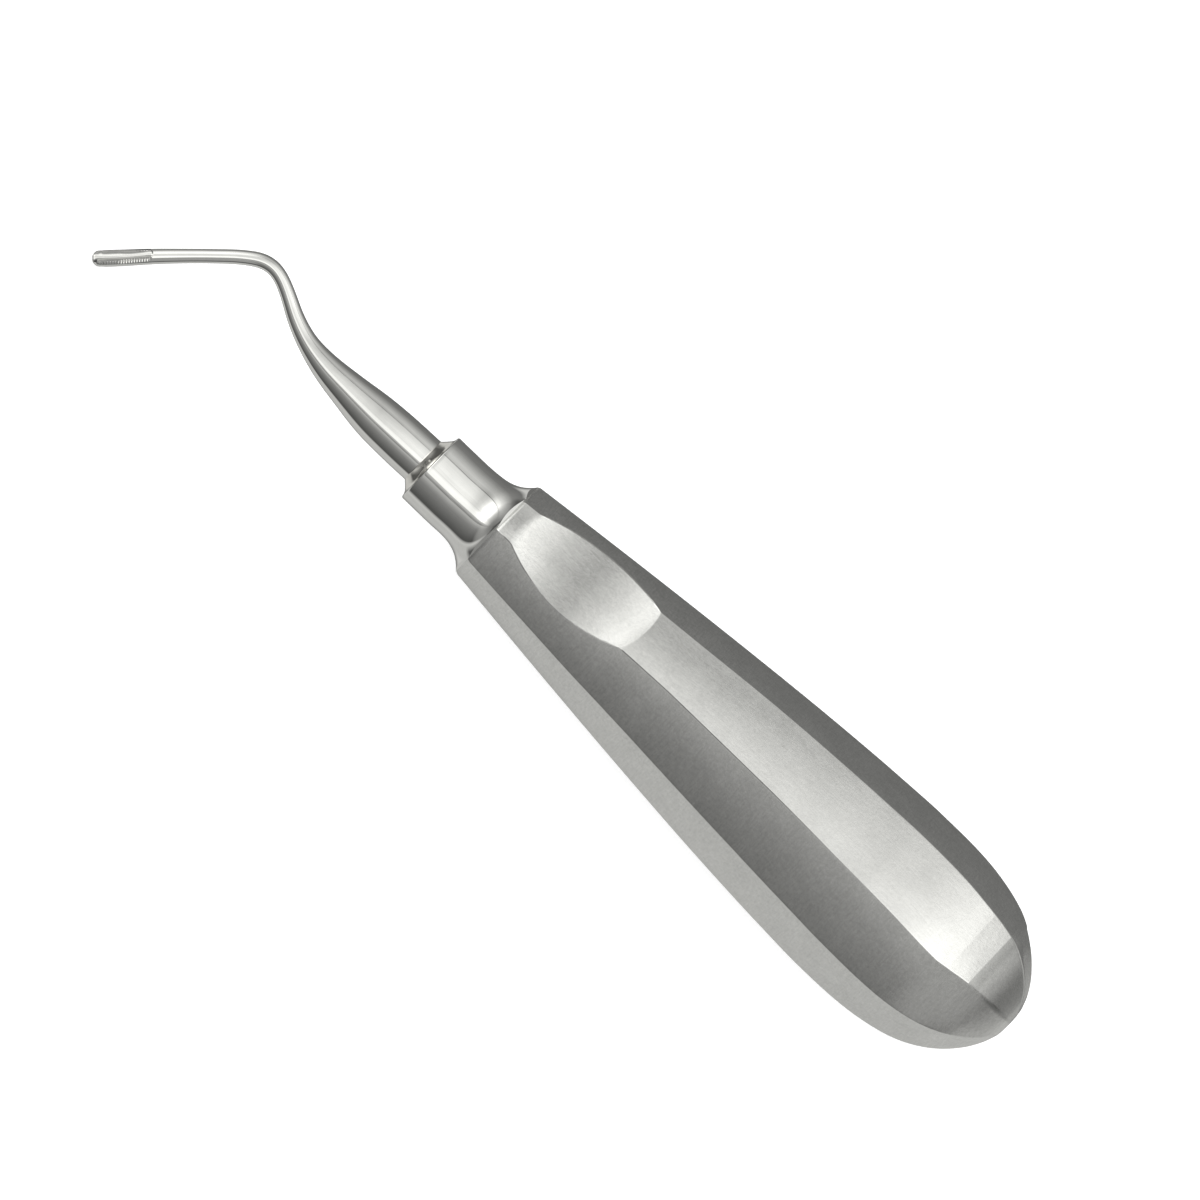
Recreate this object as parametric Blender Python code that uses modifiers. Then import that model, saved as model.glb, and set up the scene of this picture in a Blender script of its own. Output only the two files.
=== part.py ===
"""Dental elevator: a hollow eight-sided pear handle with a thumb scoop, a turned
ferrule, and a bent shank that ends in a serrated gouge blade.

Everything is drawn in the instrument's own frame, in millimetres: X runs along the
handle from the front shoulder (x = 0) to the butt, Z is the outward normal of the
facet that carries the thumb scoop, Y is across.  An empty then tips the whole
instrument into the pose in which it lies on a table, resting on its belly flat and
on the back of the blade, with the floor at Z = 0.
"""
import math

import bmesh
import bpy
from mathutils import Matrix, Vector

MM = 0.001

# ---------------------------------------------------------------- driving dimensions, mm
HANDLE_LENGTH = 94.47      # front shoulder to butt
BELLY_X = 68.12            # station of the fattest section
BELLY_R = 13.96            # half the width across corners there
SHOULDER_R = 7.914         # half the width across corners at the front shoulder
FRONT_POWER = 1.299        # how the neck swells towards the belly
BUTT_POWER = 3.03          # how the belly rounds over into the butt
BUTT_ROOT = 1.8325
FACETS = 8
WALL = 1.0                 # pressed sheet
BELLY_FLAT = 7.0           # length of the flat that the instrument rests on

SCOOP_FRONT_X = 2.0        # thumb scoop, chord ends and depth
SCOOP_REAR_X = 23.4
SCOOP_DEPTH = 1.86

SEAM_HALF = 0.25           # half height of the weld bead
GAP = 0.3                  # clearance between neighbouring solids

COLLAR_FRONT_X = -12.05    # ferrule
COLLAR_R = 5.30
FLARE_START_X = -6.5
FLARE_RISE = 2.55
FLARE_POWER = 3.6
SPIGOT_R = 5.1
SPIGOT_LENGTH = 5.0
MOUTH_BORE_R = 6.0
MOUTH_BORE_LENGTH = 6.4

TANG_SIDE = 4.0
TANG_END_X = 7.0
PIN_R = 0.8
PIN_X = 2.6

BEND_PLANE = math.radians(22.5)   # the shank bends in the plane through two corners
# the shank's straight runs meet at these corners: x, offset in the bend plane, bend radius
ROUTE = ((-12.35, 0.0, 0.0), (-35.0, -0.3, 14.0), (-46.4, 5.6, 5.4), (-63.48, -11.48, 0.0))
ROOT_R = 3.45
NECK_R = 1.0
BLADE_R = 1.1
TIP_R = 0.72
TAPER_START_X = -16.5
TAPER_END_X = -41.5
NOSE_LENGTH = 1.2
BLADE_LENGTH = 7.9         # heel step to tip
TROUGH_R = 1.0
TROUGH_FLOOR_TIP = -0.15   # height of the trough's floor over the shank's centre line
TROUGH_FLOOR_HEEL = 0.60

# ---------------------------------------------------------------- a clean scene
for old in list(bpy.data.objects):
    bpy.data.objects.remove(old, do_unlink=True)
parts = bpy.data.collections.new("dental_elevator")
cutters = bpy.data.collections.new("dental_elevator_cutters")
bpy.context.scene.collection.children.link(parts)
bpy.context.scene.collection.children.link(cutters)

frame = bpy.data.objects.new("instrument_frame", None)
parts.objects.link(frame)


def steel(name, colour, roughness):
    mat = bpy.data.materials.new(name)
    mat.use_nodes = True
    shader = mat.node_tree.nodes["Principled BSDF"]
    shader.inputs["Base Color"].default_value = (*colour, 1.0)
    shader.inputs["Roughness"].default_value = roughness
    shader.inputs["Metallic"].default_value = 1.0
    return mat


def place(obj, mat=None, cutter=False):
    """Put an object in its collection, under the instrument's frame."""
    for col in list(obj.users_collection):
        col.objects.unlink(obj)
    (cutters if cutter else parts).objects.link(obj)
    obj.parent = frame
    if cutter:
        obj.hide_render = True
        obj.display_type = 'WIRE'
    if mat:
        obj.data.materials.clear()
        obj.data.materials.append(mat)
    return obj


def boolean(obj, tool, operation='DIFFERENCE'):
    mod = obj.modifiers.new(operation.lower() + "_" + tool.name, 'BOOLEAN')
    mod.operation = operation
    mod.solver = 'EXACT'
    mod.object = tool
    return mod


# ---------------------------------------------------------------- the handle's outline
def corner_r(x):
    """Half the handle's width across corners at station x."""
    if x > BELLY_X:
        t = min((x - BELLY_X) / (HANDLE_LENGTH - BELLY_X), 1.0)
        return BELLY_R * max(1.0 - t ** BUTT_POWER, 0.0) ** (1.0 / BUTT_ROOT)
    u = min(max((BELLY_X - x) / BELLY_X, 0.0), 1.0)
    return BELLY_R - (BELLY_R - SHOULDER_R) * u ** FRONT_POWER


def inner_r(x):
    """The same outline, one wall thickness inside."""
    back = HANDLE_LENGTH - 1.25
    skin = WALL / math.cos(math.pi / FACETS)
    if x > BELLY_X:
        t = min((x - BELLY_X) / (back - BELLY_X), 1.0)
        return (BELLY_R - skin) * max(1.0 - t ** BUTT_POWER, 0.0) ** (1.0 / BUTT_ROOT)
    return corner_r(x) - skin


def flat_r(x):
    """Half the handle's width across flats."""
    return corner_r(x) * math.cos(math.pi / FACETS)


def bend_point(x, offset):
    return Vector((x, offset * math.cos(BEND_PLANE), offset * math.sin(BEND_PLANE)))


def ease(t):
    t = min(max(t, 0.0), 1.0)
    return t * t * (3 - 2 * t)


def shank_radius(x, to_tip):
    """A stout root drawn down to the neck, a slight swell in the blade, and a nosed tip."""
    r = ROOT_R + (NECK_R - ROOT_R) * ease((x - TAPER_START_X) / (TAPER_END_X - TAPER_START_X))
    r += (BLADE_R - NECK_R) * ease(1.0 - (to_tip - NOSE_LENGTH) / BLADE_LENGTH)
    if to_tip < NOSE_LENGTH:
        r -= (BLADE_R - TIP_R) * (1.0 - to_tip / NOSE_LENGTH) ** 2
    return r


def shank_stations(step=1.5, bend_steps=6):
    """(x, offset, radius) down the centre line: straight runs with an arc at each corner."""
    ends = [Vector((x, v)) for x, v, _ in ROUTE]
    line = [ends[0]]
    for i in range(1, len(ends) - 1):
        back = (ends[i - 1] - ends[i]).normalized()
        ahead = (ends[i + 1] - ends[i]).normalized()
        half = back.angle(ahead) / 2
        radius = ROUTE[i][2]
        centre = ends[i] + (back + ahead).normalized() * (radius / math.sin(half))
        first = ends[i] + back * (radius / math.tan(half)) - centre
        last = ends[i] + ahead * (radius / math.tan(half)) - centre
        sweep = math.pi - 2 * half
        if (Matrix.Rotation(sweep, 2) @ first - last).length > (Matrix.Rotation(-sweep, 2) @ first - last).length:
            sweep = -sweep
        line += [centre + Matrix.Rotation(sweep * k / bend_steps, 2) @ first for k in range(bend_steps + 1)]
    tip = ends[-1]
    along = (tip - line[-1]).normalized()
    line += [tip - along * NOSE_LENGTH * (1 - k / 4) for k in range(5)]
    points = []
    for a, b in zip(line, line[1:]):
        count = max(1, int(round((b - a).length / step)))
        points += [a.lerp(b, k / count) for k in range(count)]
    points.append(tip)
    return [(p.x, p.y, shank_radius(p.x, (tip - p).length)) for p in points]


# ---------------------------------------------------------------- the bent round shank, swept along its path
def catmull(rows, steps):
    """A smooth path through the stations, with the radius carried along."""
    pts = [Vector((*bend_point(x, v), r)) for x, v, r in rows]
    path = []
    for i in range(len(pts) - 1):
        p1, p2 = pts[i], pts[i + 1]
        p0 = pts[i - 1] if i else p1 * 2 - p2
        p3 = pts[i + 2] if i + 2 < len(pts) else p2 * 2 - p1
        d0 = max((p1 - p0).xyz.length, 1e-6)
        d1 = max((p2 - p1).xyz.length, 1e-6)
        d2 = max((p3 - p2).xyz.length, 1e-6)
        m1 = ((p1 - p0) / d0 * d1 + (p2 - p1)) / (d0 + d1) * d1
        m2 = ((p2 - p1) / d1 * d2 + (p3 - p2) / d2 * d1) / (d1 + d2) * d1
        count = max(1, int(round(d1 / steps)))
        for k in range(count):
            t = k / count
            path.append(p1 * (2 * t ** 3 - 3 * t ** 2 + 1) + m1 * (t ** 3 - 2 * t ** 2 + t)
                        + p2 * (3 * t ** 2 - 2 * t ** 3) + m2 * (t ** 3 - t ** 2))
    path.append(pts[-1])
    return path


SHANK = shank_stations()
path = catmull(SHANK, 1.5)
curve = bpy.data.curves.new("shank_path", 'CURVE')
curve.dimensions = '3D'
curve.twist_mode = 'MINIMUM'
curve.bevel_depth = MM
curve.bevel_resolution = 4
curve.use_fill_caps = True
spline = curve.splines.new('POLY')
spline.points.add(len(path) - 1)
for point, p in zip(spline.points, path):
    point.co = (*(p.xyz * MM), 1.0)
    point.radius = p.w
wire = bpy.data.objects.new("shank_wire", curve)
bpy.context.scene.collection.objects.link(wire)
bpy.context.view_layer.update()
swept = bpy.data.meshes.new_from_object(wire.evaluated_get(bpy.context.evaluated_depsgraph_get()))
bm = bmesh.new()
bm.from_mesh(swept)
bmesh.ops.remove_doubles(bm, verts=bm.verts[:], dist=0.000005)
bmesh.ops.recalc_face_normals(bm, faces=bm.faces[:])
bm.to_mesh(swept)
bm.free()
swept.name = "blade_and_shank"
bpy.data.objects.remove(wire, do_unlink=True)

# The belly flat lies on the plane that also touches the back of the blade, so its
# front end is found by halving: with the chord of the flat level, the flat and the
# lowest point of the blade have to come out at the same height.
low, high = 30.0, 64.0
for _ in range(50):
    flat_start = 0.5 * (low + high)
    flat_end = flat_start + BELLY_FLAT
    slope = (flat_r(flat_end) - flat_r(flat_start)) / BELLY_FLAT
    flat_height = slope * flat_start - flat_r(flat_start)
    blade_height = min(slope * v.co.x + v.co.z for v in swept.vertices) / MM
    if flat_height > blade_height:
        low = flat_start
    else:
        high = flat_start
REST_TILT = math.atan(slope)


def stations(first, last):
    """Loft stations, close together where the butt rounds over."""
    xs = [first]
    for x in (6.0, 13.0, 20.0, 28.0, 36.0, 44.0):
        if first + 2.0 < x < flat_start - 3.0:
            xs.append(x)
    xs += [flat_start, flat_end, BELLY_X, 73.0]
    turns = 11
    for k in range(1, turns + 1):
        ang = 0.5 * math.pi * k / turns
        xs.append(73.0 + (last - 73.0) * math.sin(ang))
    return xs


def eight_sided(name, sections):
    """A loft through eight-sided sections (x, corner radius), closed at both ends."""
    bm = bmesh.new()
    turn = Matrix.Rotation(math.radians(90), 4, 'Y') @ Matrix.Rotation(math.pi / FACETS, 4, 'Z')
    loops = []
    for x, r in sections:
        ring = bmesh.ops.create_circle(
            bm, cap_ends=False, segments=FACETS, radius=r * MM,
            matrix=Matrix.Translation((x * MM, 0, 0)) @ turn)
        loops.append(list({e for v in ring["verts"] for e in v.link_edges}))
    first, last = list(loops[0]), list(loops[-1])
    for a, b in zip(loops, loops[1:]):
        bmesh.ops.bridge_loops(bm, edges=a + b)
    bmesh.ops.contextual_create(bm, geom=first)
    bmesh.ops.contextual_create(bm, geom=last)
    bmesh.ops.recalc_face_normals(bm, faces=bm.faces[:])
    mesh = bpy.data.meshes.new(name)
    bm.to_mesh(mesh)
    bm.free()
    return bpy.data.objects.new(name, mesh)


def cylinder(name, radius, length, centre, axis, sides=48):
    """A cylinder about the given axis; sizes in millimetres."""
    bm = bmesh.new()
    spin = Vector((0, 0, 1)).rotation_difference(Vector(axis)).to_matrix().to_4x4()
    bmesh.ops.create_cone(bm, cap_ends=True, segments=sides, radius1=radius * MM,
                          radius2=radius * MM, depth=length * MM,
                          matrix=Matrix.Translation(Vector(centre) * MM) @ spin)
    mesh = bpy.data.meshes.new(name)
    bm.to_mesh(mesh)
    bm.free()
    return bpy.data.objects.new(name, mesh)


def box(name, low_corner, high_corner):
    lo, hi = Vector(low_corner) * MM, Vector(high_corner) * MM
    bm = bmesh.new()
    bmesh.ops.create_cube(bm, size=1.0, matrix=Matrix.Translation((lo + hi) / 2)
                          @ Matrix.Diagonal((*(hi - lo), 1.0)))
    mesh = bpy.data.meshes.new(name)
    bm.to_mesh(mesh)
    bm.free()
    return bpy.data.objects.new(name, mesh)


def turned(name, profile, steps=48):
    """A turned piece about the instrument's axis.

    The profile is a closed or axis-to-axis list of (x, radius) that runs from the
    rear, down the outer side, to the front.
    """
    closed = all(r > 0 for _, r in profile)
    mesh = bpy.data.meshes.new(name)
    points = [(r * MM, 0.0, x * MM) for x, r in profile]
    edges = [(i, i + 1) for i in range(len(points) - 1)]
    if closed:
        edges.append((len(points) - 1, 0))
    mesh.from_pydata(points, edges, [])
    obj = bpy.data.objects.new(name, mesh)
    obj.rotation_euler = (0.0, math.radians(90), 0.0)
    screw = obj.modifiers.new("turn", 'SCREW')
    screw.axis = 'Z'
    screw.steps = steps
    screw.render_steps = steps
    screw.use_merge_vertices = True
    screw.merge_threshold = 0.000001
    return obj


satin = steel("satin steel", (0.62, 0.62, 0.61), 0.33)
satin_dark = steel("satin steel, lower shell", (0.56, 0.56, 0.56), 0.35)
polished = steel("polished steel", (0.70, 0.70, 0.70), 0.08)
polished_blade = steel("polished blade steel", (0.74, 0.74, 0.73), 0.12)
weld = steel("ground weld", (0.58, 0.58, 0.57), 0.36)
braze = steel("silver braze", (0.66, 0.65, 0.62), 0.2)
hidden = steel("raw steel", (0.45, 0.44, 0.43), 0.45)

# ---------------------------------------------------------------- handle: two pressed shells and their weld
HANDLE_FRONT = GAP
outer_xs = stations(HANDLE_FRONT, HANDLE_LENGTH)
outer_sections = [(x, max(corner_r(x), 1.3)) for x in outer_xs]
inner_xs = stations(MOUTH_BORE_LENGTH - 0.2, HANDLE_LENGTH - 1.25)
inner_sections = [(x, max(inner_r(x), 0.9)) for x in inner_xs]

front = Vector((SCOOP_FRONT_X, 0, flat_r(SCOOP_FRONT_X)))
rear = Vector((SCOOP_REAR_X, 0, flat_r(SCOOP_REAR_X)))
chord = rear - front
scoop_r = (chord.length_squared / 4 + SCOOP_DEPTH ** 2) / (2 * SCOOP_DEPTH)
up = Vector((-chord.z, 0, chord.x)).normalized()
scoop_centre = (front + rear) / 2 + up * (scoop_r - SCOOP_DEPTH)

cavity = place(eight_sided("cutter_cavity", inner_sections), cutter=True)
dent = place(cylinder("cutter_dent", scoop_r + WALL, 60, scoop_centre, (0, 1, 0), 160), cutter=True)
boolean(cavity, dent)
scoop = place(cylinder("cutter_scoop", scoop_r, 60, scoop_centre, (0, 1, 0), 160), cutter=True)
mouth = place(cylinder("cutter_mouth", MOUTH_BORE_R, MOUTH_BORE_LENGTH + 2,
                       ((MOUTH_BORE_LENGTH - 2) / 2, 0, 0), (1, 0, 0), 48), cutter=True)

upper_half = place(box("cutter_upper_half", (-5, -20, SEAM_HALF + GAP), (110, 20, 20)), cutter=True)
lower_half = place(box("cutter_lower_half", (-5, -20, -20), (110, 20, -SEAM_HALF - GAP)), cutter=True)
seam_slab = place(box("cutter_seam", (-5, -20, -SEAM_HALF), (110, 20, SEAM_HALF)), cutter=True)

for node, keep, mat in (("handle_shell_upper", upper_half, satin),
                        ("handle_shell_lower", lower_half, satin_dark),
                        ("seam_weld", seam_slab, weld)):
    shell = place(eight_sided(node, outer_sections), mat)
    boolean(shell, cavity)
    boolean(shell, mouth)
    if node == "handle_shell_upper":
        boolean(shell, scoop)
    boolean(shell, keep, 'INTERSECT')

# ---------------------------------------------------------------- ferrule
profile = [(SPIGOT_LENGTH, 0.0), (SPIGOT_LENGTH, SPIGOT_R - 0.4), (SPIGOT_LENGTH - 0.4, SPIGOT_R),
           (0.0, SPIGOT_R), (0.0, COLLAR_R + FLARE_RISE)]
flare_steps = 12
for k in range(1, flare_steps + 1):
    t = 1.0 - k / flare_steps
    profile.append((FLARE_START_X * (1 - t), COLLAR_R + FLARE_RISE * t ** FLARE_POWER))
profile += [(COLLAR_FRONT_X + 0.2, COLLAR_R), (COLLAR_FRONT_X, COLLAR_R - 0.2), (COLLAR_FRONT_X, 0.0)]
ferrule = place(turned("ferrule", profile), polished)
facets = place(eight_sided("cutter_facets", [(-15.0, SHOULDER_R), (SPIGOT_LENGTH + 2, SHOULDER_R)]), cutter=True)
boolean(ferrule, facets, 'INTERSECT')
half = TANG_SIDE / 2 + GAP
broach = place(box("cutter_broach", (-20, -half, -half), (20, half, half)), cutter=True)
boolean(ferrule, broach)
pin_hole = place(cylinder("cutter_pin_hole", PIN_R + GAP, 30, (PIN_X, 0, 0), (0, 1, 0), 24), cutter=True)
boolean(ferrule, pin_hole)

# brazed joint between the spigot and the mouth of the shells
sleeve_in, sleeve_out = SPIGOT_R + GAP, MOUTH_BORE_R - GAP
place(turned("mouth_braze", [(SPIGOT_LENGTH - 0.2, sleeve_in), (SPIGOT_LENGTH - 0.2, sleeve_out),
                             (2 * GAP, sleeve_out), (2 * GAP, sleeve_in)], 40), braze)

# drive pin through the spigot and the tang
place(cylinder("tang_pin", PIN_R, 2 * (SPIGOT_R - 0.2), (PIN_X, 0, 0), (0, 1, 0), 20), hidden)

# braze fillet where the shank enters the collar
fillet_rear = COLLAR_FRONT_X - GAP
fillet_front = fillet_rear - 0.85
fillet_in = SHANK[0][2] + GAP
fillet = [(fillet_rear, fillet_in), (fillet_rear, COLLAR_R - 0.06)]
for k in range(1, 6):
    ang = 0.5 * math.pi * k / 5
    fillet.append((fillet_rear - 0.15 - 0.7 * math.sin(ang),
                   fillet_in + 0.12 + (COLLAR_R - 0.06 - fillet_in - 0.12) * (1 - math.sin(ang)) ** 0.9))
fillet.append((fillet_front, fillet_in))
place(turned("braze_fillet", fillet, 40), braze)


# ---------------------------------------------------------------- blade, shank and tang: one forging
blade = place(bpy.data.objects.new("blade_and_shank", swept), polished_blade)

tang = place(box("cutter_tang", (SHANK[0][0] - 1.5, -TANG_SIDE / 2, -TANG_SIDE / 2),
                 (TANG_END_X, TANG_SIDE / 2, TANG_SIDE / 2)), cutter=True)
boolean(blade, tang, 'UNION')
boolean(blade, pin_hole)

tip = bend_point(*SHANK[-1][:2])
heel_dir = (bend_point(*SHANK[-5][:2]) - tip).normalized()
heel = tip + heel_dir * BLADE_LENGTH
opening = Vector((0, -math.sin(BEND_PLANE), math.cos(BEND_PLANE)))
a = tip - heel_dir * 2.0 + opening * (TROUGH_FLOOR_TIP + TROUGH_R
                                      - 2.0 * (TROUGH_FLOOR_HEEL - TROUGH_FLOOR_TIP) / BLADE_LENGTH)
b = heel + opening * (TROUGH_FLOOR_HEEL + TROUGH_R)
trough = place(cylinder("cutter_trough", TROUGH_R, (b - a).length, (a + b) / 2, b - a, 32), cutter=True)
boolean(blade, trough)

# ---------------------------------------------------------------- rest pose: belly flat and blade on the floor
frame.rotation_euler = (0.0, -REST_TILT, 0.0)
bpy.context.view_layer.update()
depsgraph = bpy.context.evaluated_depsgraph_get()
corners = []
for obj in parts.objects:
    if obj.type == 'MESH':
        done = obj.evaluated_get(depsgraph)
        mesh = done.to_mesh()
        corners += [obj.matrix_world @ v.co for v in mesh.vertices]
        done.to_mesh_clear()
lows = [min(c[i] for c in corners) for i in range(3)]
highs = [max(c[i] for c in corners) for i in range(3)]
frame.location = (-(lows[0] + highs[0]) / 2, -(lows[1] + highs[1]) / 2, -lows[2])
bpy.context.view_layer.update()

for obj in parts.objects:
    if obj.type == 'MESH' and obj.name in {"ferrule", "blade_and_shank", "braze_fillet", "mouth_braze", "tang_pin"}:
        obj.data.shade_smooth()
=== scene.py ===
"""Looks of the dental elevator: fine meshes for the pear handle, the ferrule, the
braze and the bent gouge, their brushed and polished steels, a white table and a
soft studio round it.

The meshes are drawn in the instrument's own frame, in millimetres, as the CAD is:
X runs along the handle from the front shoulder (x = 0) to the butt, Z is the outward
normal of the facet with the thumb scoop, Y is across.  POSE tips that frame on to the
table.
"""
import math

import bmesh
import bpy
import numpy as np
from mathutils import Matrix, Vector


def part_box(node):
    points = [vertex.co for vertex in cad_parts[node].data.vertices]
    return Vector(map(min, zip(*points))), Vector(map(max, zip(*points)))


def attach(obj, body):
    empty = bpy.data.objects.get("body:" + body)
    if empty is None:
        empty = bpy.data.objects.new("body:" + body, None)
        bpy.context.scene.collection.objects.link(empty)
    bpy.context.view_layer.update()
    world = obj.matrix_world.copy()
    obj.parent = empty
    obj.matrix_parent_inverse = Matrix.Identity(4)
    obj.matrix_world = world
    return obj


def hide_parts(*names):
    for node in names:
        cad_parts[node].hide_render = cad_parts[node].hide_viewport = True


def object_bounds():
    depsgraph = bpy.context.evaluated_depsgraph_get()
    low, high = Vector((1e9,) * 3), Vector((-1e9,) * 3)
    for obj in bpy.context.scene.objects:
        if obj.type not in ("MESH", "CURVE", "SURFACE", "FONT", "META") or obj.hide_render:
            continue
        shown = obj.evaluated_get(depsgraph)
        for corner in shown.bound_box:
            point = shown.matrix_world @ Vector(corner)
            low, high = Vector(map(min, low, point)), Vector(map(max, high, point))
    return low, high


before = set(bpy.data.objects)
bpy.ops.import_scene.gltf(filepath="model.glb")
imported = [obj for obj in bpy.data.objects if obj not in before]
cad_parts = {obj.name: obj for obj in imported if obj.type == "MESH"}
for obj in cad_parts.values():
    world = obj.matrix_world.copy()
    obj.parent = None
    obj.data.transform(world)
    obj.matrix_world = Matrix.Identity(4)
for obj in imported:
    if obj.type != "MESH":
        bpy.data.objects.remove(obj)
cad_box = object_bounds()

MM = 0.001

# ------------------------------------------------------------------ dimensions shared with the CAD, mm
HANDLE_LENGTH = 94.47
BELLY_X = 68.12
BELLY_R = 13.96
SHOULDER_R = 7.914
FRONT_POWER = 1.299
BUTT_POWER = 3.03
BUTT_ROOT = 1.8325
WALL = 1.0
SCOOP_FRONT_X, SCOOP_REAR_X, SCOOP_DEPTH = 2.0, 23.4, 1.86
SEAM_HALF = 0.25
COLLAR_FRONT_X, COLLAR_R = -12.05, 5.48
FLARE_START_X, FLARE_RISE, FLARE_POWER = -6.9, 2.30, 3.7
SPIGOT_R, SPIGOT_LENGTH = 5.1, 5.0
MOUTH_BORE_R, MOUTH_BORE_LENGTH = 6.0, 6.4
TANG_SIDE, TANG_END_X = 4.0, 7.0
BEND_PLANE = math.radians(22.5)
REST_TILT = math.radians(3.422891)
POSE = Matrix.Translation((-0.0153741, 0.0, 0.008932)) @ Matrix.Rotation(-REST_TILT, 4, 'Y')

C225, S225 = math.cos(math.pi / 8), math.sin(math.pi / 8)

# ------------------------------------------------------------------ camera
VIEW_TILT = math.radians(23.5)
ROLL = math.radians(44.02)
to_camera = Vector((0.0, -math.sin(VIEW_TILT), math.cos(VIEW_TILT)))
across = Vector((0.0, math.cos(VIEW_TILT), math.sin(VIEW_TILT)))
along = Vector((1.0, 0.0, 0.0))
cam_right = along * math.cos(ROLL) + across * math.sin(ROLL)
cam_up = -along * math.sin(ROLL) + across * math.cos(ROLL)
FIELD = 0.15907
CAM_DISTANCE = 1.8
aim = along * 0.01635 + across * 0.00275
turn = Matrix((cam_right, cam_up, to_camera)).transposed().to_4x4()
cam_data = bpy.data.cameras.new("camera")
cam_data.type = 'PERSP'
cam_data.sensor_width = 36.0
cam_data.lens = 36.0 * CAM_DISTANCE / FIELD
cam_data.clip_start, cam_data.clip_end = 0.05, 20.0
camera = bpy.data.objects.new("camera", cam_data)
bpy.context.scene.collection.objects.link(camera)
camera.matrix_world = POSE @ Matrix.Translation(aim + to_camera * CAM_DISTANCE) @ turn
bpy.context.scene.camera = camera
bpy.context.scene.view_settings.view_transform = 'Standard'


# ------------------------------------------------------------------ small helpers
def lerp(a, b, t):
    return a + (b - a) * t


def smooth01(t):
    t = min(max(t, 0.0), 1.0)
    return t * t * (3 - 2 * t)


def spline(table):
    """A smooth curve through (x, value) rows, without overshoot (monotone cubic)."""
    xs = [row[0] for row in table]
    ys = [row[1] for row in table]
    n = len(xs)
    d = [(ys[i + 1] - ys[i]) / (xs[i + 1] - xs[i]) for i in range(n - 1)]
    m = [d[0]] + [0.0 if d[i - 1] * d[i] <= 0 else 2 * d[i - 1] * d[i] / (d[i - 1] + d[i])
                  for i in range(1, n - 1)] + [d[-1]]

    def at(x):
        if x <= xs[0]:
            return ys[0]
        if x >= xs[-1]:
            return ys[-1]
        i = 0
        while x > xs[i + 1]:
            i += 1
        h = xs[i + 1] - xs[i]
        t = (x - xs[i]) / h
        return (ys[i] * (2 * t ** 3 - 3 * t ** 2 + 1) + m[i] * h * (t ** 3 - 2 * t ** 2 + t)
                + ys[i + 1] * (3 * t ** 2 - 2 * t ** 3) + m[i + 1] * h * (t ** 3 - t ** 2))
    return at


def soft_min(a, b, k):
    h = min(max(0.5 + 0.5 * (b - a) / k, 0.0), 1.0)
    return b + (a - b) * h - k * h * (1 - h)


def piece(name, points, faces, mat, sharp=35.0, replaces=()):
    """A mesh object from points in millimetres, placed by POSE and riding on the frame."""
    mesh = bpy.data.meshes.new(name)
    placed = [POSE @ Vector((p[0] * MM, p[1] * MM, p[2] * MM)) for p in points]
    for co in placed:                       # rounding never leaves the CAD's box
        for c in range(3):
            co[c] = min(max(co[c], cad_box[0][c] + 1e-6), cad_box[1][c] - 1e-6)
    mesh.from_pydata(placed, [], faces)
    bm = bmesh.new()
    bm.from_mesh(mesh)
    bmesh.ops.remove_doubles(bm, verts=bm.verts[:], dist=0.0000004)
    bmesh.ops.dissolve_degenerate(bm, edges=bm.edges[:], dist=0.0000003)
    bmesh.ops.recalc_face_normals(bm, faces=bm.faces[:])
    bm.to_mesh(mesh)
    bm.free()
    mesh.shade_smooth()
    mesh.set_sharp_from_angle(angle=math.radians(sharp))
    obj = bpy.data.objects.new(name, mesh)
    bpy.context.scene.collection.objects.link(obj)
    mesh.materials.append(mat)
    if replaces:
        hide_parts(*replaces)
    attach(obj, "root")
    return obj


# ------------------------------------------------------------------ materials
def new_material(name):
    mat = bpy.data.materials.new(name)
    mat.use_nodes = True
    return mat, mat.node_tree, mat.node_tree.nodes["Principled BSDF"]


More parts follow.
